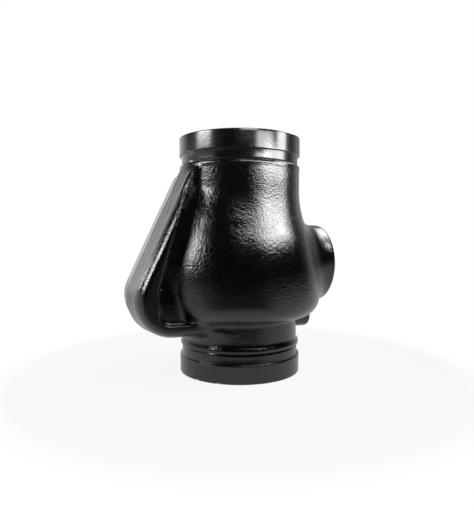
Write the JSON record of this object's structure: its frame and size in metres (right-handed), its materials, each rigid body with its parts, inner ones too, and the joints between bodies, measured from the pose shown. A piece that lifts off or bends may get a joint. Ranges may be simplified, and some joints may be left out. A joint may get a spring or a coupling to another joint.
{
  "type": "riser non-return valve",
  "caption": "Upright swing check valve with grooved pipe ends, a bell-shaped cast body, a slanted hinge hood, a threaded drain outlet and a hinged, rubber-faced clapper on a seat ring.",
  "frame": {"origin": "centre of the inlet end, on the plane of its face", "axes": "+Z along the waterway towards the outlet end; the hood stands out towards -X, the drain outlet points to +X; the hinge pin lies along Y"},
  "size_m": [0.1932, 0.1532, 0.219],
  "materials": {
    "body": "gloss black enamel on a cast surface",
    "seat_ring": "turned",
    "seat_o_ring": "matte",
    "hinge_pin": "ground stainless",
    "thrust_washer_near": "turned",
    "thrust_washer_far": "turned",
    "hinge_pin_plug": "turned",
    "pin_plug_gasket": "matte fibre",
    "supply_port_plug": "black oxide",
    "gauge_port_plug": "black oxide",
    "clapper_arm": "investment-cast stainless",
    "arm_bushing_near": "turned",
    "arm_bushing_far": "turned",
    "clapper_disc": "investment-cast stainless",
    "clapper_facing": "moulded",
    "facing_retainer": "turned stainless",
    "retainer_screws": "bright stainless",
    "stem_washer": "bright stainless",
    "stem_nut": "bright stainless",
    "split_pin": "bright stainless"
  },
  "bodies": {
    "valve_body": {"body": "body", "seat_ring": "seat_ring", "seat_o_ring": "seat_o_ring", "hinge_pin": "hinge_pin", "thrust_washer_near": "thrust_washer_near", "thrust_washer_far": "thrust_washer_far", "hinge_pin_plug": "hinge_pin_plug", "pin_plug_gasket": "pin_plug_gasket", "supply_port_plug": "supply_port_plug", "gauge_port_plug": "gauge_port_plug"},
    "arm": {"clapper_arm": "clapper_arm", "arm_bushing_near": "arm_bushing_near", "arm_bushing_far": "arm_bushing_far"},
    "clapper": {"clapper_disc": "clapper_disc", "clapper_facing": "clapper_facing", "facing_retainer": "facing_retainer", "retainer_screws": "retainer_screws", "stem_washer": "stem_washer", "stem_nut": "stem_nut", "split_pin": "split_pin"}
  },
  "joints": [
    {"name": "clapper_hinge", "type": "hinge", "parent": "valve_body", "child": "arm", "pos_m": [-0.066, 0, 0.076], "axis": [0, -1, 0], "range_deg": [0, 55]},
    {"name": "disc_spin", "type": "hinge", "parent": "arm", "child": "clapper", "pos_m": [0, 0, 0.08], "axis": [0, 0, 1], "continuous": true}
  ]
}
